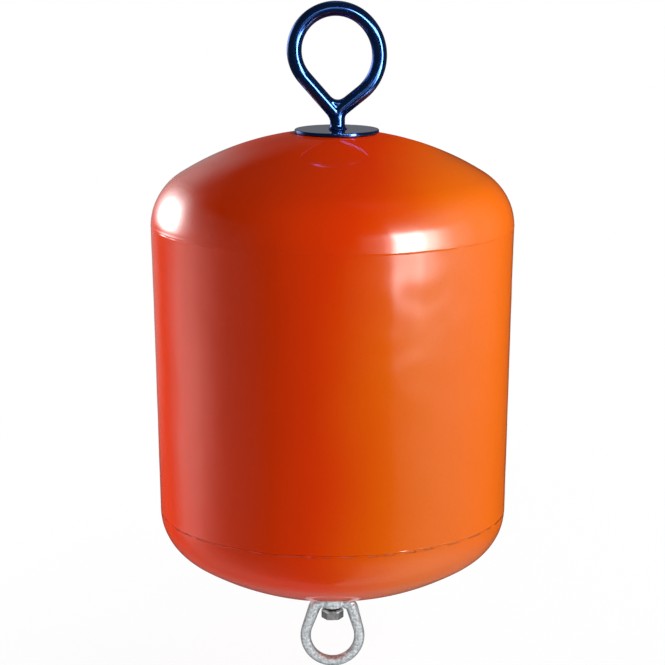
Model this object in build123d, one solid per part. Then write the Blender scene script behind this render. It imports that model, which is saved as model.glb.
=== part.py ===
from build123d import *
from math import acos, atan2, cos, degrees, radians, sin, sqrt, tan
import os

# Mooring buoy: a hollow moulded float clamped on a steel rod, with a lifting ring above
# and a turning eye below. Millimetres, Z up, origin on the float's axis at the waterline.
# The ring and the eye lie in the XZ plane, and their flat sides face -Y and +Y.

# Float
DRAUGHT = 230.0
UPPER_RADIUS = 200.0
LOWER_RADIUS = 194.5
SEAM_SPACING = 321.0
TOP_CROWN_RADIUS = 320.0
TOP_SHOULDER_RADIUS = 65.0
BOTTOM_CROWN_RADIUS = 308.0
BOTTOM_SHOULDER_RADIUS = 60.0
SKIN_WALL = 5.0
SEAT_WALL = 9.0
CORE_WALL = 4.0
SEAM_HEIGHT = 2.4
SEAM_PROUD = 0.5
TOP_SEAT_DEPTH = 2.7
TOP_SEAT_INSET = 4.0
BOTTOM_SEAT_DEPTH = 1.2
BOTTOM_SEAT_MARGIN = 3.0

# Rod, plates and nuts
ROD_RADIUS = 7.0
ROD_END_PROUD = 1.0
ROD_CHAMFER = 1.0
PLATE_THICKNESS = 4.0
PLATE_ROUND = 1.2
TOP_PLATE_RADIUS = 46.3
TOP_PLATE_OFFSET = 4.7
BOTTOM_PLATE_RADIUS = 35.0
NUT_ACROSS_FLATS = 22.0
NUT_FACE_RADIUS = 10.4
NUT_CHAMFER_ANGLE = 30.0
NUT_CORNER_BREAK = 0.5
CLAMP_NUT_HEIGHT = 7.0
END_NUT_HEIGHT = 12.8
END_NUT_COLLAR_RADIUS = 9.2
END_NUT_COLLAR_HEIGHT = 2.3
END_NUT_TURN = 2.5

# Lifting ring: one round bar whose shank bends into the right leg. The left leg comes back
# to the shank and is welded to it. The right side of the drop is the fuller one. The foot
# heights are where the legs' centre lines meet the shank's, above the plate.
RING_BAR_RADIUS = 8.2
RING_SHANK_OFFSET = 5.5
RING_LEFT_FOOT = 14.7
RING_RIGHT_FOOT = 18.4
RING_LEFT_LEAN = 41.2
RING_RIGHT_LEAN = 51.3
RING_LEFT_BEND = 45.1
RING_RIGHT_BEND = 52.2
RING_LEFT_TURN = 170.7
RING_SHANK_BEND = 15.0
RING_WELD_WIDTH = 13.0
RING_WELD_ROUND = 4.0
RING_CROTCH_HOLLOW = 10.0
RING_ARMPIT_HOLLOW = 12.0
FOOT_WELD_LEG = 4.0

# Turning eye, cast round a bored boss
EYE_BOSS_RADIUS = 12.3
EYE_BOSS_HEIGHT = 13.2
EYE_BOSS_ROUND = 1.2
EYE_BAR_DEPTH = 9.0
EYE_LEFT_LEAN = 19.5
EYE_RIGHT_LEAN = 16.0
EYE_LEG_TOP_RADIUS = 7.0
EYE_BAR_RADIUS = 6.0
EYE_CORNER_BEND = 8.0
EYE_BOTTOM_BEND = 30.9
EYE_DROP = 39.2

# Clearances
BORE_CLEARANCE = 0.5
THREAD_CLEARANCE = 0.1
SWIVEL_RUNNING = 0.08
SWIVEL_SEAT_GAP = 0.3
SWIVEL_LIFT_PLAY = 0.8
NUT_SWEEP_CLEARANCE = 1.0


def dome_rise(radius, shoulder, crown):
    """Height from a seam to the pole of a crown that runs into the shoulder without a corner."""
    return crown - sqrt((crown - shoulder) ** 2 - (radius - shoulder) ** 2)


# Heights, from the waterline
float_bottom = -DRAUGHT
lower_seam = float_bottom + dome_rise(LOWER_RADIUS, BOTTOM_SHOULDER_RADIUS, BOTTOM_CROWN_RADIUS)
upper_seam = lower_seam + SEAM_SPACING
float_top = upper_seam + dome_rise(UPPER_RADIUS, TOP_SHOULDER_RADIUS, TOP_CROWN_RADIUS)
top_seat = float_top - TOP_SEAT_DEPTH
top_plate_face = top_seat + PLATE_THICKNESS
bottom_seat = float_bottom + BOTTOM_SEAT_DEPTH
bottom_plate_face = bottom_seat - PLATE_THICKNESS
clamp_nut_face = bottom_plate_face - CLAMP_NUT_HEIGHT
eye_top = clamp_nut_face - SWIVEL_LIFT_PLAY
eye_seat = eye_top - EYE_BOSS_HEIGHT
end_nut_top = eye_seat - SWIVEL_SEAT_GAP
end_nut_face = end_nut_top - END_NUT_HEIGHT
rod_end = end_nut_face - ROD_END_PROUD
nut_corner_radius = NUT_ACROSS_FLATS / 2 / cos(radians(30))


def upright(radius, low, high):
    """Upright cylinder on the float's axis between two heights."""
    return Pos(0, 0, low) * Cylinder(radius, high - low, align=(Align.CENTER, Align.CENTER, Align.MIN))


def turned(edges):
    """Solid turned about Z from a half section that starts and ends on the axis."""
    return revolve(Plane.XZ * make_face(edges), Axis.Z)


def round_bar(path, radius):
    """Bar of round section along a path of lines and arcs."""
    return sweep(Plane(path @ 0, z_dir=path % 0) * Circle(radius), path=path)


def dome_arcs(radius, shoulder, crown, seam_z, side, inset, rim):
    """Shoulder and crown arcs from a seam to the radius rim. Side is 1 for the top, -1 for the bottom."""
    crown_z = seam_z + side * (dome_rise(radius, shoulder, crown) - crown)
    meeting = degrees(atan2(abs(seam_z - crown_z), radius - shoulder))
    rim_angle = degrees(acos(rim / (crown - inset)))
    shoulder_arc = CenterArc((radius - shoulder, seam_z), shoulder - inset, 0, side * meeting)
    crown_arc = CenterArc((0, crown_z), crown - inset, side * meeting, side * (rim_angle - meeting))
    return shoulder_arc, crown_arc


def float_arcs(inset, top_rim, bottom_rim):
    """Arcs of the float's two domes at an inset from its outside."""
    top = dome_arcs(UPPER_RADIUS, TOP_SHOULDER_RADIUS, TOP_CROWN_RADIUS, upper_seam, 1, inset, top_rim)
    bottom = dome_arcs(
        LOWER_RADIUS, BOTTOM_SHOULDER_RADIUS, BOTTOM_CROWN_RADIUS, lower_seam, -1, inset, bottom_rim)
    return top, bottom


def make_float():
    flat_radius = sqrt(TOP_CROWN_RADIUS ** 2 - (TOP_CROWN_RADIUS - TOP_SEAT_DEPTH) ** 2)
    bottom_rim = BOTTOM_PLATE_RADIUS + BOTTOM_SEAT_MARGIN
    top, bottom = float_arcs(0, flat_radius, bottom_rim)
    outside = turned([
        Line((0, top_seat), top[1] @ 1),
        *top,
        Line(top[0] @ 0, bottom[0] @ 0),
        *bottom,
        Polyline(bottom[1] @ 1, (bottom_rim, bottom_seat), (0, bottom_seat), (0, top_seat)),
    ])
    seat_radius = TOP_PLATE_RADIUS - TOP_SEAT_INSET
    outside += Pos(TOP_PLATE_OFFSET, 0, 0) * upright(seat_radius, top_seat - SEAT_WALL, top_seat)
    inner_top, inner_bottom = float_arcs(SKIN_WALL, 0, 0)
    hollow = turned([
        *inner_top,
        Line(inner_top[0] @ 0, inner_bottom[0] @ 0),
        *inner_bottom,
        Line(inner_bottom[1] @ 1, inner_top[1] @ 1),
    ])
    bore_radius = ROD_RADIUS + BORE_CLEARANCE
    hollow -= upright(bore_radius + CORE_WALL, float_bottom, float_top)
    hollow -= upright(seat_radius + TOP_PLATE_OFFSET, top_seat - SEAT_WALL, float_top)
    hollow -= upright(bottom_rim, float_bottom, bottom_seat + SEAT_WALL)
    skin = outside - hollow - upright(bore_radius, float_bottom - 1, float_top + 1)
    for seam_z, radius in ((upper_seam, UPPER_RADIUS), (lower_seam, LOWER_RADIUS)):
        bead = Polyline((0, SEAM_HEIGHT / 2), (SEAM_PROUD, 0), (0, -SEAM_HEIGHT / 2), (-1, 0), close=True)
        skin += revolve(Plane.XZ * Pos(radius, seam_z) * make_face(bead), Axis.Z)
    return skin


def make_plate(radius, low, offset=0.0):
    """Round plate with softened rims, bored for the rod. Offset moves its rim, not its bore."""
    plate = Pos(offset, 0, 0) * upright(radius, low, low + PLATE_THICKNESS)
    plate = fillet(plate.edges().filter_by(GeomType.CIRCLE), PLATE_ROUND)
    return plate - upright(ROD_RADIUS + THREAD_CLEARANCE, low - 1, low + PLATE_THICKNESS + 1)


def make_nut(low, height, turn=0.0):
    """Hexagon nut. Its corners are turned off at the upper face and just broken at the lower one."""
    drop = (nut_corner_radius - NUT_FACE_RADIUS) * tan(radians(NUT_CHAMFER_ANGLE))
    lower_radius = nut_corner_radius - NUT_CORNER_BREAK
    blank = extrude(RegularPolygon(nut_corner_radius, 6, rotation=turn), height)
    envelope = turned([Polyline(
        (0, 0), (lower_radius, 0), (nut_corner_radius, NUT_CORNER_BREAK), (nut_corner_radius, height - drop),
        (NUT_FACE_RADIUS, height), (0, height), (0, 0))])
    return Pos(0, 0, low) * (blank & envelope) - nut_bore(low, height)


def nut_bore(low, height):
    """Bore of a nut, in place of its thread."""
    return upright(ROD_RADIUS + THREAD_CLEARANCE, low - 1, low + height + 1)


def make_end_nut():
    """Lower nut, with the turned collar on which the eye bears."""
    hexagon = make_nut(end_nut_face, END_NUT_HEIGHT - END_NUT_COLLAR_HEIGHT, END_NUT_TURN)
    collar = upright(END_NUT_COLLAR_RADIUS, end_nut_top - END_NUT_COLLAR_HEIGHT, end_nut_top)
    return hexagon + collar - nut_bore(end_nut_face, END_NUT_HEIGHT)


def make_rod():
    rod = upright(ROD_RADIUS, rod_end, top_plate_face)
    return chamfer(rod.edges().group_by(Axis.Z)[0], ROD_CHAMFER)


def leaning(angle):
    """Direction in the ring's plane that leans from straight up towards +X by an angle in degrees."""
    return Vector(sin(radians(angle)), cos(radians(angle)))


def leg_lengths():
    """Straight lengths of the ring's left and right legs, from the shank, that close the drop."""
    left, right = leaning(-RING_LEFT_LEAN), leaning(RING_RIGHT_LEAN)
    top = leaning(RING_LEFT_TURN - RING_LEFT_LEAN)
    across = RING_LEFT_BEND * (left.Y - top.Y) + RING_RIGHT_BEND * (top.Y + right.Y)
    rise = RING_LEFT_BEND * (top.X - left.X) - RING_RIGHT_BEND * (top.X + right.X)
    rise -= RING_RIGHT_FOOT - RING_LEFT_FOOT
    spread = right.X * left.Y - right.Y * left.X
    return (across * right.Y - rise * right.X) / spread, (across * left.Y - rise * left.X) / spread


def ring_paths(left_foot):
    """Centre lines of the ring's left half, and of its right half with the shank."""
    left_length, right_length = leg_lengths()
    bend_reach = RING_SHANK_BEND * tan(radians(RING_RIGHT_LEAN / 2))
    right_turn = 180 + RING_LEFT_LEAN + RING_RIGHT_LEAN - RING_LEFT_TURN
    left_leg = Line(left_foot, left_foot + leaning(-RING_LEFT_LEAN) * left_length)
    left_bend = JernArc(left_leg @ 1, left_leg % 1, RING_LEFT_BEND, -RING_LEFT_TURN)
    right_bend = JernArc(left_bend @ 1, left_bend % 1, RING_RIGHT_BEND, -right_turn)
    right_leg = Line(right_bend @ 1, right_bend @ 1 - leaning(RING_RIGHT_LEAN) * (right_length - bend_reach))
    shank_bend = JernArc(right_leg @ 1, right_leg % 1, RING_SHANK_BEND, RING_RIGHT_LEAN)
    shank = Line(shank_bend @ 1, (left_foot.X, top_plate_face))
    return left_leg + left_bend, right_bend + right_leg + shank_bend + shank


def corner_weld(corner, first, second, hollow):
    """Weld metal between two bars that leave a corner at two leans, hollowed to touch both sides."""
    half_angle = radians(abs(second - first) / 2)
    middle = leaning((first + second) / 2)
    hollow_centre = corner + middle * ((RING_BAR_RADIUS + hollow) / sin(half_angle))
    reach = (RING_BAR_RADIUS + hollow) / tan(half_angle)
    feet = [corner + leaning(lean) * reach for lean in (first, second)]
    fill = make_face(Polyline(corner, feet[0], hollow_centre, feet[1], close=True))
    fill -= Pos(*hollow_centre) * Circle(hollow)
    weld = extrude(Plane.XZ * fill, RING_WELD_WIDTH / 2, both=True)
    return fillet(weld.edges().filter_by(GeomType.CIRCLE), RING_WELD_ROUND)


def make_ring():
    left_foot = Vector(RING_SHANK_OFFSET, top_plate_face + RING_LEFT_FOOT)
    left, right = ring_paths(left_foot)
    ring = round_bar(Plane.XZ * left, RING_BAR_RADIUS) + round_bar(Plane.XZ * right, RING_BAR_RADIUS)
    reach = (RING_RIGHT_FOOT - RING_LEFT_FOOT) / sin(radians(RING_LEFT_LEAN + RING_RIGHT_LEAN))
    crotch = left_foot + leaning(-RING_LEFT_LEAN) * (reach * sin(radians(RING_RIGHT_LEAN)))
    ring += corner_weld(crotch, -RING_LEFT_LEAN, RING_RIGHT_LEAN, RING_CROTCH_HOLLOW)
    ring += corner_weld(left_foot, -180, -RING_LEFT_LEAN, RING_ARMPIT_HOLLOW)
    foot = RING_BAR_RADIUS + FOOT_WELD_LEG
    weld = turned([
        Polyline((RING_BAR_RADIUS, FOOT_WELD_LEG), (0, FOOT_WELD_LEG), (0, 0), (foot, 0)),
        RadiusArc((foot, 0), (RING_BAR_RADIUS, FOOT_WELD_LEG), FOOT_WELD_LEG * 1.3),
    ])
    return ring + Pos(RING_SHANK_OFFSET, 0, top_plate_face) * weld


def make_half_eye(lean_degrees):
    """Right half of the eye's bar, with its leg at a lean from upright."""
    bar_z = eye_top - EYE_BAR_DEPTH
    lean = radians(lean_degrees)
    leg_foot = Vector(EYE_BOTTOM_BEND * cos(lean), bar_z - EYE_DROP + EYE_BOTTOM_BEND * sin(lean))
    corner_x = leg_foot.X - (bar_z - leg_foot.Y) * tan(lean)
    corner_reach = EYE_CORNER_BEND * tan((radians(90) - lean) / 2)
    crossbar = Line((0, bar_z), (corner_x - corner_reach, bar_z))
    corner = JernArc(crossbar @ 1, (1, 0), EYE_CORNER_BEND, lean_degrees - 90)
    leg_head = corner @ 1
    leg_line = leg_foot - leg_head
    bottom = JernArc(leg_foot, leg_line.normalized(), EYE_BOTTOM_BEND, -90 - lean_degrees)
    leg = Plane((leg_head.X, 0, leg_head.Y), z_dir=(leg_line.X, 0, leg_line.Y)) * Cone(
        EYE_LEG_TOP_RADIUS, EYE_BAR_RADIUS, leg_line.length, align=(Align.CENTER, Align.CENTER, Align.MIN))
    half = round_bar(Plane.XZ * (crossbar + corner), EYE_LEG_TOP_RADIUS) + leg
    return half + round_bar(Plane.XZ * bottom, EYE_BAR_RADIUS)


def make_eye():
    bar = make_half_eye(EYE_RIGHT_LEAN) + mirror(make_half_eye(EYE_LEFT_LEAN), Plane.YZ)
    boss = upright(EYE_BOSS_RADIUS, eye_seat, eye_top)
    boss = fillet(boss.edges().filter_by(GeomType.CIRCLE), EYE_BOSS_ROUND)
    eye = bar + boss
    swept = nut_corner_radius + NUT_SWEEP_CLEARANCE
    eye -= upright(swept, eye_seat - EYE_BOSS_HEIGHT, eye_seat)
    eye -= upright(swept, eye_top, eye_top + EYE_BOSS_HEIGHT)
    return eye - upright(ROD_RADIUS + SWIVEL_RUNNING, eye_seat - 1, eye_top + 1)


pieces = {
    "float_skin": make_float(),
    "top_plate": make_plate(TOP_PLATE_RADIUS, top_seat, TOP_PLATE_OFFSET),
    "lifting_ring": make_ring(),
    "through_rod": make_rod(),
    "bottom_plate": make_plate(BOTTOM_PLATE_RADIUS, bottom_plate_face),
    "clamp_nut": make_nut(clamp_nut_face, CLAMP_NUT_HEIGHT),
    "swivel_eye": make_eye(),
    "end_nut": make_end_nut(),
}

os.makedirs("parts", exist_ok=True)
for name, solid in pieces.items():
    export_step(solid, f"parts/{name}.step")
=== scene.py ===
from math import acos, atan2, cos, pi, radians, sin, sqrt

import bmesh
import bpy
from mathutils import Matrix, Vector, noise


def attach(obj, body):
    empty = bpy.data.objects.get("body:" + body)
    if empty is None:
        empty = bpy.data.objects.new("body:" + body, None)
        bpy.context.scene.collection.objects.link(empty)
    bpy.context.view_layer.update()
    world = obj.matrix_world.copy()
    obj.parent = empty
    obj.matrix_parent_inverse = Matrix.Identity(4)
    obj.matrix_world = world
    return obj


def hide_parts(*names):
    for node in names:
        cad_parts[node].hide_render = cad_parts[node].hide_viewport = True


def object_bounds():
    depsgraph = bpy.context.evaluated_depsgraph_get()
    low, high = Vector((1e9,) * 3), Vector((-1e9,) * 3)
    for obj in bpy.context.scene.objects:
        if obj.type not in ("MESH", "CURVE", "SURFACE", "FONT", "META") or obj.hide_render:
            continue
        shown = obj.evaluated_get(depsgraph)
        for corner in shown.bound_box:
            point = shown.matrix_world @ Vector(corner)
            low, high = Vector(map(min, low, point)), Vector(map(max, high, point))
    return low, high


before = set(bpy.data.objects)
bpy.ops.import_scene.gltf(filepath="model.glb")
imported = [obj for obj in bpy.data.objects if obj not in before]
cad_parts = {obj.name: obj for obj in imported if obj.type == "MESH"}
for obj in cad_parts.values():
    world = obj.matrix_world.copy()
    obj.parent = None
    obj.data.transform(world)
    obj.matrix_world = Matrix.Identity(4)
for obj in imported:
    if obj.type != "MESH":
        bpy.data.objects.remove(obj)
cad_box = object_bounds()

# Float: the same curves as its solid, in metres from the waterline
DRAUGHT = 0.230
UPPER_RADIUS = 0.200
LOWER_RADIUS = 0.1945
SEAM_SPACING = 0.321
TOP_CROWN_RADIUS = 0.320
TOP_SHOULDER_RADIUS = 0.065
BOTTOM_CROWN_RADIUS = 0.308
BOTTOM_SHOULDER_RADIUS = 0.060
BORE_RADIUS = 0.0075
TOP_SEAT_DEPTH = 0.0027
SEAT_REACH = 0.056
BOTTOM_SEAT_DEPTH = 0.0012
BOTTOM_SEAT_RADIUS = 0.038
BOTTOM_SEAT_CORNER = 0.0006
MERGE_DISTANCE = 1e-6


class Recipe:
    """Node tree of one material, or of the world, which node() fills."""

    def __init__(self, owner):
        owner.use_nodes = True
        self.tree = owner.node_tree
        self.tree.nodes.clear()

    def node(self, kind, settings=None, sockets=None, out=0):
        """Adds a node, sets it, joins or sets its sockets, and returns one of its outputs."""
        made = self.tree.nodes.new(kind)
        for name, value in (settings or {}).items():
            if name == "stops":
                self.set_stops(made.color_ramp, value)
            else:
                setattr(made, name, value)
        for name, value in (sockets or {}).items():
            if isinstance(value, Wire):
                self.tree.links.new(value.socket, made.inputs[name])
            else:
                made.inputs[name].default_value = value
        return Wire(self, made.outputs[out]) if made.outputs else None

    @staticmethod
    def set_stops(ramp, stops):
        """Gives a colour ramp its (position, colour) stops."""
        while len(ramp.elements) < len(stops):
            ramp.elements.new(1)
        for element, (position, colour) in zip(ramp.elements, stops):
            element.position = position
            element.color = (*colour, 1)

    def noise(self, place, scale, detail=3, roughness=0.5):
        """Soft noise from 0 to 1 with so many lumps a metre."""
        return self.node("ShaderNodeTexNoise", {}, {"Vector": place, "Scale": scale, "Detail": detail,
                                                    "Roughness": roughness})

    def cells(self, place, scale, out="Distance"):
        """Voronoi cells, so many a metre."""
        return self.node("ShaderNodeTexVoronoi", {}, {"Vector": place, "Scale": scale}, out)

    def fade(self, value, low, high):
        """Goes smoothly from 0 at low to 1 at high."""
        return self.node("ShaderNodeMapRange", {"interpolation_type": "SMOOTHSTEP"},
                         {"Value": value, "From Min": low, "From Max": high})

    def curve(self, value, points):
        """Number that runs straight between (value, number) points."""
        low, high = points[0][0], points[-1][0]
        most = max(number for _, number in points)
        stops = [((place - low) / (high - low), (number / most,) * 3) for place, number in points]
        share = (value - low) / (high - low)
        return self.node("ShaderNodeValToRGB", {"stops": stops}, {"Fac": share}) * most

    def mix(self, amount, first, second):
        """Colour between two colours."""
        return self.node("ShaderNodeMix", {"data_type": "RGBA"}, {"Factor": amount, 6: first, 7: second}, 2)

    def bump(self, height, depth, under=None):
        """Normal from a height of 0 to 1 that stands for so many metres."""
        sockets = {"Height": height, "Distance": depth, "Strength": 1.0}
        if under:
            sockets["Normal"] = under
        return self.node("ShaderNodeBump", {}, sockets)

    def place(self):
        """Object coordinates."""
        return self.node("ShaderNodeTexCoord", {}, {}, "Object")

    def finish(self, **sockets):
        """Principled shader on the material's output. Words of a socket's name are joined by _ here."""
        named = {name.replace("_", " "): value for name, value in sockets.items()}
        shader = self.node("ShaderNodeBsdfPrincipled", {}, named)
        self.node("ShaderNodeOutputMaterial", {}, {"Surface": shader})


class Wire:
    """A node's output. Arithmetic on it adds Math nodes."""

    def __init__(self, recipe, socket):
        self.recipe = recipe
        self.socket = socket

    def maths(self, operation, *values):
        return self.recipe.node("ShaderNodeMath", {"operation": operation}, dict(enumerate(values)))

    def part(self, axis):
        """One component of a vector."""
        return self.recipe.node("ShaderNodeSeparateXYZ", {}, {"Vector": self}, axis)

    def __add__(self, other):
        return self.maths("ADD", self, other)

    __radd__ = __add__

    def __sub__(self, other):
        return self.maths("SUBTRACT", self, other)

    def __rsub__(self, other):
        return self.maths("SUBTRACT", other, self)

    def __mul__(self, other):
        return self.maths("MULTIPLY", self, other)

    __rmul__ = __mul__

    def __truediv__(self, other):
        return self.maths("DIVIDE", self, other)

    def __rtruediv__(self, other):
        return self.maths("DIVIDE", other, self)

    def __pow__(self, other):
        return self.maths("POWER", self, other)


def rgb(red, green, blue):
    """Linear colour with full alpha."""
    return red, green, blue, 1.0


# Camera, at the photograph's angle
CAMERA_PLACE = (0, -2.257, 0.5496)
CAMERA_DIP = 12.05
LENS = 111.84
SENSOR_WIDTH = 36


def set_camera():
    lens = bpy.data.cameras.new("camera")
    lens.sensor_width = SENSOR_WIDTH
    lens.lens = LENS
    camera = bpy.data.objects.new("camera", lens)
    camera.location = CAMERA_PLACE
    camera.rotation_euler = (radians(90 - CAMERA_DIP), 0, 0)
    bpy.context.collection.objects.link(camera)
    bpy.context.scene.camera = camera


# Soft lamps that light surfaces. Gloss doesn't show them, but the rooms further down.
LAMP_DISTANCE = 1.6
LAMP_WIDTH = 0.7
# Name, degrees round from the camera to its right, lowest and highest edge in metres, watts
UPRIGHT_LAMPS = (
    ("right_lamp", 50, 1.0, 1.7, 32),
    ("front_low_lamp", 20, -0.3, 0.3, 8.5),
    ("back_lamp", 120, 1.0, 1.7, 10),
    ("right_back_lamp", 118, -0.3, 0.9, 22),
    ("left_lamp", -113, -0.3, 0.4, 31),
    ("left_back_lamp", -130, -0.3, 0.9, 14),
)
# Name, width in metres, watts of the light that a lit table sends up under the float
TABLE_LAMPS = (("table_lamp", 0.5, 0.5), ("wide_table_lamp", 0.9, 1.0))
TABLE_LAMP_RISE = 0.0005


def hang_lamp(name, width, height, power, place, turn):
    """Rectangular soft lamp that neither the camera nor gloss sees."""
    lamp = bpy.data.lights.new(name, "AREA")
    lamp.shape = "RECTANGLE"
    lamp.size = width
    lamp.size_y = height
    lamp.energy = power
    hung = bpy.data.objects.new(name, lamp)
    hung.location = place
    hung.rotation_euler = turn
    hung.visible_glossy = False
    hung.visible_camera = False
    bpy.context.collection.objects.link(hung)


def hang_lamps():
    for name, azimuth, low, high, power in UPRIGHT_LAMPS:
        turn = radians(azimuth)
        place = (sin(turn) * LAMP_DISTANCE, -cos(turn) * LAMP_DISTANCE, (low + high) / 2)
        hang_lamp(name, LAMP_WIDTH, high - low, power, place, (radians(90), 0, turn))
    for name, width, power in TABLE_LAMPS:
        hang_lamp(name, width, width, power, (0, 0, cad_box[0].z + TABLE_LAMP_RISE), (pi, 0, 0))


def new_piece(name, mesh):
    """Object at the origin from a bmesh."""
    data = bpy.data.meshes.new(name)
    mesh.to_mesh(data)
    mesh.free()
    piece = bpy.data.objects.new(name, data)
    bpy.context.collection.objects.link(piece)
    return piece


# Rooms that gloss shows: each patch of light by degrees round to the camera's right, then by degrees up
LEFT_SHEET = (
    ((-180, 0.05), (-160, 0.06), (-135, 0.08), (-129, 0.17), (-122, 0.45), (-114, 1.05), (-103, 1.35),
     (-96, 1.3), (-92, 1.05), (-87, 0.9), (-80, 0.57), (-74, 0.37), (-67, 0.25), (-55, 0.14),
     (-44, 0.03), (-40, 0), (176, 0), (180, 0.05)),
    ((-90, 0), (-40, 0.15), (-26, 0.4), (-19, 0.75), (-15, 1), (-8, 0.9), (10, 0.72), (20, 0.42),
     (31, 0.2), (38, 0), (90, 0)))
RIGHT_SHEET = (
    ((-180, 0), (28, 0), (36, 0.08), (44, 0.5), (50, 0.75), (60, 1.15), (70, 1.35), (80, 1.35),
     (90, 1.1), (100, 0.8), (110, 0.5), (120, 0.25), (130, 0.1), (140, 0.03), (180, 0)),
    ((-90, 0), (-40, 0.35), (-20, 0.4), (-16, 0.5), (-12, 0.8), (0, 1), (20, 1), (35, 0.9), (45, 0.4),
     (55, 0.08), (90, 0.05)))
BACK_SHEET = (
    ((-180, 0.1), (-170, 0.25), (-160, 0.3), (-150, 0.25), (-140, 0), (176, 0), (180, 0.1)),
    ((-90, 0), (-17, 0), (-12, 0.6), (0, 1), (25, 1), (32, 0.5), (38, 0), (90, 0)))
TABLE = (
    ((-180, 0.2), (-90, 0.24), (-45, 0.1), (-22, 0.03), (2, 0.03), (15, 0.12), (28, 0.45), (60, 0.55),
     (90, 0.5), (120, 0.35), (160, 0.25), (180, 0.2)),
    ((-90, 1), (-45, 1), (-35, 0.7), (-22, 0), (90, 0)))
RIGHT_WINDOW = (
    ((-180, 0), (14, 0), (17, 0.005), (22, 0.02), (27, 0.035), (32, 0.07), (37, 0.22), (41, 1), (56, 1),
     (60, 0.6), (64, 0.48), (70, 0.23), (76, 0.12), (82, 0.05), (90, 0.02), (100, 0), (180, 0)),
    ((-90, 0), (-22, 0), (-17, 0.003), (-14, 0.012), (-12, 0.07), (-10, 0.5), (-8, 1), (18, 1),
     (22, 0.55), (25, 0.2), (28, 0.12), (34, 0.03), (42, 0), (90, 0)))
RIGHT_WINDOW_GLOW = 28
TALL_WINDOW = (
    ((-180, 0), (38, 0), (41, 1), (50, 1), (54, 0.05), (60, 0), (180, 0)),
    ((-90, 0), (-34, 0), (-28, 0.1), (-22, 1), (18, 1), (24, 0), (90, 0)))
SHELF = (
    ((-180, 0), (-8, 0), (-4, 0.05), (4, 0.07), (7, 0.2), (10, 0.9), (36, 1), (38, 0), (180, 0)),
    ((-90, 0), (9, 0), (12, 1), (17, 1), (20, 0), (90, 0)))
SILL = (
    ((-180, 0), (4, 0), (7, 0.07), (14, 0.12), (28, 0.4), (40, 0.9), (42, 0), (180, 0)),
    ((-90, 0), (-16, 0), (-13, 1), (-10, 1), (-8, 0), (90, 0)))
POST = (
    ((-180, 0), (-10, 0), (-7, 1), (-1, 1), (2, 0), (180, 0)),
    ((-90, 0), (-1, 0), (2, 1), (12, 1), (15, 0), (90, 0)))
POST_SHARE = 0.06
COATED_FRONT_GLOW = 26
COATED_ROOM_GLOW = 0.015
SOFT_ROOM = (
    ((-180, 0.24), (-130, 0.18), (-100, 0.22), (-70, 0.7), (-35, 1), (0, 0.85), (30, 1.1), (55, 1.3),
     (80, 0.9), (105, 0.3), (135, 0.18), (180, 0.24)),
    ((-90, 0.5), (-50, 0.8), (-20, 1), (20, 1), (60, 0.7), (90, 0.5)))

# Left window: an oval, with its strength by the distance from its middle as a share of its half size
LEFT_WINDOW_MIDDLE = (-128, 9)
LEFT_WINDOW_HALF_SIZE = (20, 17)
LEFT_WINDOW = ((0, 1), (0.62, 1), (0.8, 0.55), (1, 0.26), (1.2, 0.13), (1.4, 0.055), (1.6, 0.026),
               (1.9, 0.006), (2.3, 0))
LEFT_WINDOW_GLOW = 14
LEFT_WINDOW_FOOT = (-8, 2)
LEFT_WINDOW_IN_METAL = 2.8

# Dim wall behind the buoy, which the plate's top shows
BACK_WALL_TURN = (145, 170)
BACK_WALL_RISE = (1, 7)
BACK_WALL_GLOW = 0.18

# World, as the share of its white that surfaces see, and that gloss sees on top of it
WORLD_GLOW = 0.016
WORLD_IN_GLOSS = 0.008


def light_world():
    """White behind the buoy for the camera, and a dim even glow for surfaces."""
    world = bpy.data.worlds.new("studio")
    bpy.context.scene.world = world
    recipe = Recipe(world)
    camera_ray = recipe.node("ShaderNodeLightPath", {}, {}, "Is Camera Ray")
    clear_ray = recipe.node("ShaderNodeLightPath", {}, {}, "Is Transmission Ray")
    glossy_ray = recipe.node("ShaderNodeLightPath", {}, {}, "Is Glossy Ray")
    strength = camera_ray * (1 - WORLD_GLOW) + clear_ray + glossy_ray * WORLD_IN_GLOSS + WORLD_GLOW
    shader = recipe.node("ShaderNodeBackground", {}, {"Color": rgb(1, 1, 1), "Strength": strength})
    recipe.node("ShaderNodeOutputWorld", {}, {"Surface": shader})


class Room:
    """Light of a room by the direction from the buoy, in degrees round and degrees up."""

    def __init__(self, recipe):
        self.recipe = recipe
        direction = recipe.node("ShaderNodeVectorMath", {"operation": "NORMALIZE"}, {0: recipe.place()})
        self.turn = direction.maths("ARCTAN2", direction.part("X"), 0 - direction.part("Y")) * (180 / pi)
        self.rise = direction.maths("ARCSINE", direction.part("Z")) * (180 / pi)

    def patch(self, light):
        """Strength of one sheet, window or other patch of light."""
        turn_points, rise_points = light
        return self.recipe.curve(self.turn, turn_points) * self.recipe.curve(self.rise, rise_points)

    def left_window(self):
        middle_turn, middle_rise = LEFT_WINDOW_MIDDLE
        half_turn, half_rise = LEFT_WINDOW_HALF_SIZE
        across = (self.turn - middle_turn) / half_turn
        up = (self.rise - middle_rise) / half_rise
        return self.recipe.curve((across ** 2 + up ** 2) ** 0.5, LEFT_WINDOW)


def float_room(room):
    """What the float's gloss shows: two windows, soft sheets of light beside them and a lit table below."""
    sheets = room.patch(LEFT_SHEET) + room.patch(RIGHT_SHEET) + room.patch(BACK_SHEET)
    right = room.patch(RIGHT_WINDOW) * RIGHT_WINDOW_GLOW
    left = room.left_window() * room.recipe.fade(room.rise, *LEFT_WINDOW_FOOT) * LEFT_WINDOW_GLOW
    return sheets + right + left + room.patch(TABLE)


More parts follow.
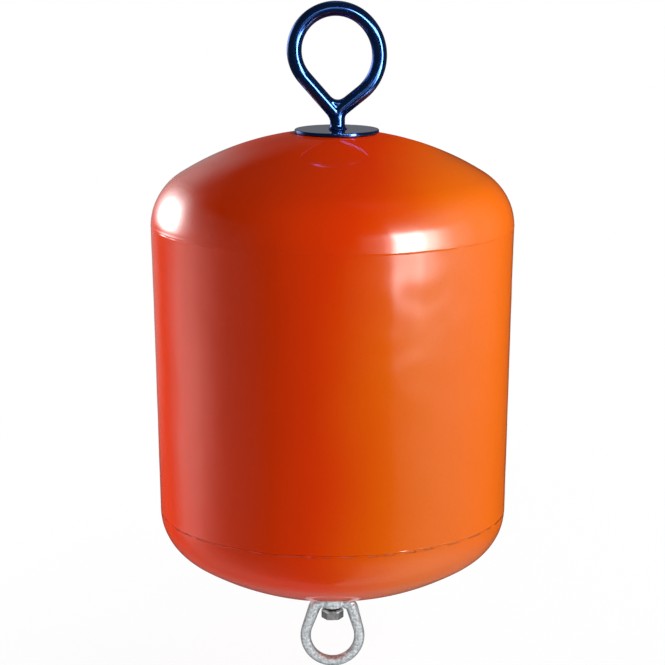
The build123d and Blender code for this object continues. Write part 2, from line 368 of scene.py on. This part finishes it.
def coated_room(room):
    """What the coated metal's gloss shows: a tall window with a shelf, a sill and a dim post beside it."""
    front = room.patch(TALL_WINDOW) + room.patch(SHELF) + room.patch(SILL) + room.patch(POST) * POST_SHARE
    near_turn, far_turn = BACK_WALL_TURN
    back = room.recipe.fade(room.turn * room.turn, near_turn ** 2, far_turn ** 2)
    back = back * room.recipe.fade(room.rise, *BACK_WALL_RISE) * BACK_WALL_GLOW
    return front * COATED_FRONT_GLOW + room.left_window() * LEFT_WINDOW_IN_METAL + back + COATED_ROOM_GLOW


def bare_room(room):
    """What the bare metal's gloss shows: soft light that is brighter in front."""
    return room.patch(SOFT_ROOM)


def hang_room(name, room, pieces, radius):
    """Far shell whose light only the gloss of these pieces shows. Two shells never share a radius."""
    mesh = bmesh.new()
    bmesh.ops.create_icosphere(mesh, subdivisions=4, radius=radius)
    shell = new_piece(name, mesh)
    material = bpy.data.materials.new(name)
    material.cycles.emission_sampling = "NONE"
    recipe = Recipe(material)
    light = recipe.node("ShaderNodeEmission", {}, {"Strength": room(Room(recipe))})
    clear = recipe.node("ShaderNodeBsdfTransparent")
    both = recipe.node("ShaderNodeAddShader", {}, {0: light, 1: clear})
    recipe.node("ShaderNodeOutputMaterial", {}, {"Surface": both})
    shell.data.materials.append(material)
    shell.visible_camera = False
    shell.visible_diffuse = False
    shell.visible_transmission = False
    shell.visible_shadow = False
    lit = bpy.data.collections.new(name)
    for piece in pieces:
        lit.objects.link(piece)
    shell.light_linking.receiver_collection = lit


# Floor
FLOOR_RADIUS = 30
SHADOW_REACH = (0.3, 1.3)
SHADOW_SHARE = 0.06
FLOOR_BOUNCE = 0.5


def lay_floor():
    """Pale floor under the buoy. The camera sees it white with a soft shadow that fades outwards."""
    mesh = bmesh.new()
    bmesh.ops.create_circle(mesh, cap_ends=True, segments=96, radius=FLOOR_RADIUS)
    bmesh.ops.translate(mesh, vec=(0, 0, cad_box[0].z), verts=mesh.verts)
    floor = new_piece("floor", mesh)
    material = bpy.data.materials.new("floor")
    recipe = Recipe(material)
    reach = recipe.node("ShaderNodeVectorMath", {"operation": "LENGTH"}, {0: recipe.place()}, "Value")
    near = 1 - recipe.fade(reach, *SHADOW_REACH)
    camera_ray = recipe.node("ShaderNodeLightPath", {}, {}, "Is Camera Ray")
    pale = recipe.node("ShaderNodeBsdfDiffuse", {}, {"Color": rgb(0.8, 0.8, 0.8)})
    white = recipe.node("ShaderNodeEmission", {}, {"Strength": camera_ray})
    share = camera_ray * (1 - near * SHADOW_SHARE) + (1 - camera_ray) * FLOOR_BOUNCE
    seen = recipe.node("ShaderNodeMixShader", {}, {0: share, 1: pale, 2: white})
    recipe.node("ShaderNodeOutputMaterial", {}, {"Surface": seen})
    floor.data.materials.append(material)
    floor.visible_glossy = False


# Finishes. Heights and widths are in metres on the buoy, and a noise's scale is its lumps a metre.
# Painted light on the skin: orange on the lit right side, redder in painted shade to the left and, from
# DOME_FOOT up, on the top dome.
DOME_FOOT = 0.1
SHADED_TOP_SLANT = 0.35
LIT_SIDE_FADE = (-0.035, 0.10)
THIN_GLOSS = (0.264, 0.285)
END_NUT_EDGE = -0.2564
# Painted highlight on the end nut: a bright band just under its edge, at its left and right.
NUT_GLINT_BAND = (-0.0028, -0.0022)
NUT_GLINT_SIDES = (0.003, 0.006)
# Painted shadow on the end nut: black just above its edge.
NUT_SHADOW = (0.0001, 0.0002)


def moulded_skin():
    """Orange plastic with specks and a fine peel. Painted shade makes it redder to the left and up the top
    dome, painted light more orange on the right. Its gloss is thin at the plate.
    """
    material = bpy.data.materials.new("moulded_skin")
    recipe = Recipe(material)
    # The first colour is the skin's painted shade on the left and top, the second its painted light on the
    # right side.
    red = rgb(0.75, 0.038, 0.001)
    lit_orange = rgb(0.80, 0.140, 0.001)
    speck = rgb(0.35, 0.03, 0.005)
    dark_red = rgb(0.60, 0.035, 0.001)
    place = recipe.place()
    fine = recipe.noise(place, 420, 4, 0.6)
    broad = recipe.noise(place, 9, 2)
    # Painted light: the fade from shaded red to lit orange runs left to right, and slants so that the top
    # dome stays in painted shade.
    above = place.part("Z") - DOME_FOOT
    shaded_top = above.maths("MAXIMUM", above, 0) * SHADED_TOP_SLANT
    side = recipe.fade(place.part("X") - shaded_top + (broad - 0.5) * 0.04, *LIT_SIDE_FADE)
    colour = recipe.mix(side, red, lit_orange)
    specks = 1 - recipe.fade(recipe.cells(place, 60), 0.02, 0.06)
    colour = recipe.mix(specks * 0.25, colour, speck)
    colour = recipe.mix(recipe.fade(fine, 0.45, 0.75) * 0.10, colour, dark_red)
    peel = recipe.noise(place, 260, 3, 0.6)
    lumps = recipe.noise(place, 40, 3)
    normal = recipe.bump(peel, 0.0002, recipe.bump(lumps, 0.0003))
    recipe.finish(Base_Color=colour, Roughness=0.30 + recipe.noise(place, 30) * 0.1, Specular_IOR_Level=0.0,
                  Normal=normal, Coat_Weight=1.0 - 0.7 * recipe.fade(place.part("Z"), *THIN_GLOSS),
                  Coat_Roughness=0.07)
    return material


def blue_coating():
    """Dark blue metallic coating of uneven depth."""
    material = bpy.data.materials.new("blue_coating")
    recipe = Recipe(material)
    deep = rgb(0.020, 0.070, 0.27)
    thin = rgb(0.030, 0.110, 0.40)
    place = recipe.place()
    patches = recipe.noise(place, 70, 3)
    normal = recipe.bump(recipe.noise(place, 160, 2), 0.0001)
    colour = recipe.mix(patches, deep, thin)
    recipe.finish(Base_Color=colour, Metallic=0.92, Roughness=0.10 + patches * 0.04, Normal=normal,
                  Coat_Weight=0.25, Coat_Roughness=0.03)
    return material


def dipped_zinc():
    """Rough zinc with blotches, spangles and dark pits."""
    material = bpy.data.materials.new("dipped_zinc")
    recipe = Recipe(material)
    dull = rgb(0.36, 0.39, 0.40)
    bright = rgb(0.76, 0.82, 0.85)
    pit = rgb(0.12, 0.13, 0.14)
    place = recipe.place()
    warp = recipe.noise(place, 160, 3)
    spangle = recipe.cells(place, 420, "Color").part("X")
    blotch = recipe.fade(recipe.noise(place, 330, 5, 0.6), 0.38, 0.62)
    tone = blotch * 0.65 + spangle * 0.35
    colour = recipe.mix(tone, dull, bright)
    pits = recipe.fade(recipe.noise(place, 420, 4, 0.7), 0.60, 0.72)
    colour = recipe.mix(pits * 0.6, colour, pit)
    normal = recipe.bump(warp, 0.0003, recipe.bump(recipe.noise(place, 900, 3), 0.00008))
    recipe.finish(Base_Color=colour, Metallic=0.92, Roughness=0.38 + 0.15 * (1 - tone), Normal=normal)
    return material


def dull_steel(name, edge):
    """Grey nut with a painted highlight, bright just under the height of its edge at its left and right,
    and a painted shadow, black above that height where the next piece shades it.
    """
    material = bpy.data.materials.new(name)
    recipe = Recipe(material)
    dark = rgb(0.13, 0.14, 0.14)
    pale = rgb(0.34, 0.35, 0.35)
    # The bright colour is the painted highlight at the nut's edge; the black one below is its painted
    # shadow.
    bright = rgb(0.80, 0.82, 0.83)
    shadow_black = rgb(0.002, 0.002, 0.002)
    place = recipe.place()
    grain = recipe.noise(place, 600, 4, 0.6)
    blotch = recipe.noise(place, 180, 3)
    colour = recipe.mix(recipe.fade(grain * 0.5 + blotch * 0.5, 0.3, 0.7), dark, pale)
    height = place.part("Z") - edge
    # Painted highlight: a bright band under the edge at the nut's left and right, where its chamfer would
    # catch light.
    near_side, far_side = NUT_GLINT_SIDES
    glint_sides = recipe.fade(place.part("X") ** 2, near_side ** 2, far_side ** 2)
    colour = recipe.mix(recipe.fade(height, *NUT_GLINT_BAND) * glint_sides, colour, bright)
    # Painted shadow: black above the edge, where the swivel eye's boss shades the gap.
    colour = recipe.mix(recipe.fade(height, *NUT_SHADOW), colour, shadow_black)
    normal = recipe.bump(grain, 0.0001)
    recipe.finish(Base_Color=colour, Metallic=0.7, Roughness=0.34 + grain * 0.2, Normal=normal)
    return material


# Float
def dome_rise(radius, shoulder, crown):
    """Height from a seam to the pole of a crown that runs into the shoulder without a corner."""
    return crown - sqrt((crown - shoulder) ** 2 - (radius - shoulder) ** 2)


LOWER_DOME = (LOWER_RADIUS, BOTTOM_SHOULDER_RADIUS, BOTTOM_CROWN_RADIUS)
UPPER_DOME = (UPPER_RADIUS, TOP_SHOULDER_RADIUS, TOP_CROWN_RADIUS)
LOWER_SEAM = -DRAUGHT + dome_rise(*LOWER_DOME)
UPPER_SEAM = LOWER_SEAM + SEAM_SPACING
FLOAT_TOP = UPPER_SEAM + dome_rise(*UPPER_DOME)
TOP_SEAT = FLOAT_TOP - TOP_SEAT_DEPTH
BOTTOM_SEAT = -DRAUGHT + BOTTOM_SEAT_DEPTH

# Steps of the float's drawn outline, and of its turn
SHOULDER_STEPS = 26
CROWN_STEPS = 44
WALL_STEPS = 60
SEAT_STEPS = 8
RIM_STEPS = 24
TURN_STEPS = 360

# Rows of the wall at a seam, by their height over it, and each seam with the height of its bead
SEAM_MARGIN = 0.0026
SHOULDER_START = 0.0028
SEAM_ROWS = (-0.0022, -0.0012, -0.0008, -0.0004, 0, 0.0004, 0.0008, 0.0012, 0.0018, SEAM_MARGIN)
SEAM_BEADS = ((LOWER_SEAM, 0.00012), (UPPER_SEAM, 0.00024))
BEAD_REACH = 0.0012
SEAM_REACH = 0.004
SEAM_WANDER = 0.0009
SEAM_NOISE = 7
WAVE_DEPTH = 0.0005
WAVE_NOISE = 14
RIPPLE_DEPTH = 0.00016
RIPPLE_NOISE = 38


def draw_line(mesh, start, end, steps):
    """Draws a straight run in the XZ plane from a vertex to (x, z) and returns its last vertex."""
    step = (Vector((end[0], 0, end[1])) - start.co) / steps
    for _ in range(steps):
        made = bmesh.ops.extrude_vert_indiv(mesh, verts=[start])["verts"][0]
        made.co += step
        start = made
    return start


def draw_arc(mesh, start, centre, angle, steps):
    """Draws an arc about (x, z) that turns from +X towards +Z for a positive angle."""
    made = bmesh.ops.spin(mesh, geom=[start], cent=(centre[0], 0, centre[1]), axis=(0, -1, 0),
                          angle=angle, steps=steps)
    return made["geom_last"][0]


def draw_dome(mesh, start, seam, dome, side, rim, shoulder_first):
    """Draws a dome's shoulder and crown between its seam and the radius rim."""
    radius, shoulder, crown = dome
    crown_z = seam + side * (dome_rise(radius, shoulder, crown) - crown)
    meeting = atan2(abs(seam - crown_z), radius - shoulder)
    rim_angle = acos(rim / crown)
    shoulder_centre = (radius - shoulder, seam)
    if shoulder_first:
        start = draw_arc(mesh, start, shoulder_centre, side * meeting, SHOULDER_STEPS)
        return draw_arc(mesh, start, (0, crown_z), side * (rim_angle - meeting), CROWN_STEPS)
    start = draw_arc(mesh, start, (0, crown_z), -side * (rim_angle - meeting), CROWN_STEPS)
    return draw_arc(mesh, start, shoulder_centre, -side * meeting, SHOULDER_STEPS)


def draw_seam(mesh, start, seam, radius, slope):
    """Draws the close rows of the wall that shape_skin raises into a mould seam's bead."""
    for rise in SEAM_ROWS:
        start = draw_line(mesh, start, (radius + slope * rise, seam + rise), 1)
    return start


def shape_skin(point):
    """Point of the turned float with a moulding's faults: soft waves, and seams that wander and fade."""
    reach = sqrt(point.x ** 2 + point.y ** 2)
    if reach < SEAT_REACH:
        return point
    out = Vector((point.x, point.y, 0)) / reach
    wave = noise.noise(point * WAVE_NOISE) * WAVE_DEPTH
    ripple = noise.noise(point * RIPPLE_NOISE + Vector((3, 1, 2))) * RIPPLE_DEPTH
    moved = point + out * (wave + ripple)
    for seam, proud in SEAM_BEADS:
        off = abs(point.z - seam)
        turned = out * SEAM_NOISE + Vector((0, 0, seam * 50))
        moved.z += (1 - min(off / SEAM_REACH, 1)) * noise.noise(turned) * SEAM_WANDER
        bead = 1 - min(off / BEAD_REACH, 1) ** 2
        moved += out * bead * proud * max(0.6 + noise.noise(turned * 2), 0)
    return moved


def make_float():
    """Turned from its outline, which runs from the bore under the float to the bore at its top."""
    mesh = bmesh.new()
    bore_end = mesh.verts.new((BORE_RADIUS, 0, BOTTOM_SEAT))
    crown_rim = LOWER_SEAM - sqrt(BOTTOM_CROWN_RADIUS ** 2 - BOTTOM_SEAT_RADIUS ** 2)
    crown_rim += BOTTOM_CROWN_RADIUS - dome_rise(*LOWER_DOME)
    start = draw_line(mesh, bore_end, (BOTTOM_SEAT_RADIUS - BOTTOM_SEAT_CORNER, BOTTOM_SEAT), SEAT_STEPS)
    start = draw_line(mesh, start, (BOTTOM_SEAT_RADIUS, BOTTOM_SEAT + BOTTOM_SEAT_CORNER), 2)
    start = draw_line(mesh, start, (BOTTOM_SEAT_RADIUS, crown_rim), 1)
    start = draw_dome(mesh, start, LOWER_SEAM, LOWER_DOME, -1, BOTTOM_SEAT_RADIUS, False)
    slope = (UPPER_RADIUS - LOWER_RADIUS) / SEAM_SPACING
    start = draw_seam(mesh, start, LOWER_SEAM, LOWER_RADIUS, slope)
    wall_end = (UPPER_RADIUS - slope * SEAM_MARGIN, UPPER_SEAM - SEAM_MARGIN)
    start = draw_line(mesh, start, wall_end, WALL_STEPS)
    start = draw_seam(mesh, start, UPPER_SEAM, UPPER_RADIUS, slope)
    start = draw_line(mesh, start, (UPPER_RADIUS, UPPER_SEAM + SHOULDER_START), 1)
    start = draw_dome(mesh, start, UPPER_SEAM, UPPER_DOME, 1, SEAT_REACH, True)
    seat_edge = sqrt(TOP_CROWN_RADIUS ** 2 - (TOP_CROWN_RADIUS - TOP_SEAT_DEPTH) ** 2)
    rim_turn = acos(seat_edge / TOP_CROWN_RADIUS) - acos(SEAT_REACH / TOP_CROWN_RADIUS)
    start = draw_arc(mesh, start, (0, FLOAT_TOP - TOP_CROWN_RADIUS), rim_turn, RIM_STEPS)
    start = draw_line(mesh, start, (BORE_RADIUS, TOP_SEAT), SEAT_STEPS)
    mesh.edges.new((start, bore_end))
    bmesh.ops.spin(mesh, geom=mesh.verts[:] + mesh.edges[:], cent=(0, 0, 0), axis=(0, 0, 1), angle=2 * pi,
                   steps=TURN_STEPS, use_merge=True)
    bmesh.ops.remove_doubles(mesh, verts=mesh.verts, dist=MERGE_DISTANCE)
    bmesh.ops.recalc_face_normals(mesh, faces=mesh.faces)
    for vert in mesh.verts:
        vert.co = shape_skin(vert.co)
    piece = new_piece("moulded_float", mesh)
    piece.data.shade_smooth()
    piece.data.materials.append(moulded_skin())
    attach(piece, "buoy")
    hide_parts("float_skin")
    return piece


# Voxels that the ring's and the eye's bars are fused in, and the rounds that ease the result
RING_VOXEL = 0.0007
EYE_VOXEL = 0.0006
EASE_ROUNDS = 6


def fused_copy(node, name, voxel, material, body):
    """Copy of a CAD node whose bars and welds run into each other as one dipped or cast piece."""
    mesh = bmesh.new()
    mesh.from_mesh(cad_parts[node].data)
    bmesh.ops.remove_doubles(mesh, verts=mesh.verts, dist=MERGE_DISTANCE)
    piece = new_piece(name, mesh)
    fuse = piece.modifiers.new("fuse", "REMESH")
    fuse.mode = "VOXEL"
    fuse.voxel_size = voxel
    fuse.use_smooth_shade = True
    ease = piece.modifiers.new("ease", "SMOOTH")
    ease.iterations = EASE_ROUNDS
    ease.factor = 0.5
    shaped = bpy.data.meshes.new_from_object(piece.evaluated_get(bpy.context.evaluated_depsgraph_get()))
    piece.modifiers.clear()
    piece.data = shaped
    piece.data.shade_smooth()
    piece.data.materials.clear()
    piece.data.materials.append(material)
    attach(piece, body)
    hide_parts(node)
    return piece


def dress(node, material):
    """Gives a CAD node its finish."""
    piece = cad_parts[node]
    piece.data.materials.clear()
    piece.data.materials.append(material)
    return piece


bpy.context.scene.view_settings.view_transform = "Standard"
set_camera()
light_world()
lay_floor()
hang_lamps()
zinc = dipped_zinc()
blue = blue_coating()
skin = make_float()
ring = fused_copy("lifting_ring", "welded_ring", RING_VOXEL, blue, "buoy")
eye = fused_copy("swivel_eye", "cast_eye", EYE_VOXEL, zinc, "eye")
coated_pieces = [ring, dress("top_plate", blue)]
bare_finishes = {"through_rod": zinc, "bottom_plate": zinc, "clamp_nut": dull_steel("clamp_nut", 0),
                 "end_nut": dull_steel("end_nut", END_NUT_EDGE)}
bare_pieces = [eye] + [dress(node, finish) for node, finish in bare_finishes.items()]
hang_room("float_room", float_room, [skin], 24)
hang_room("coated_room", coated_room, coated_pieces, 26)
hang_room("bare_room", bare_room, bare_pieces, 28)
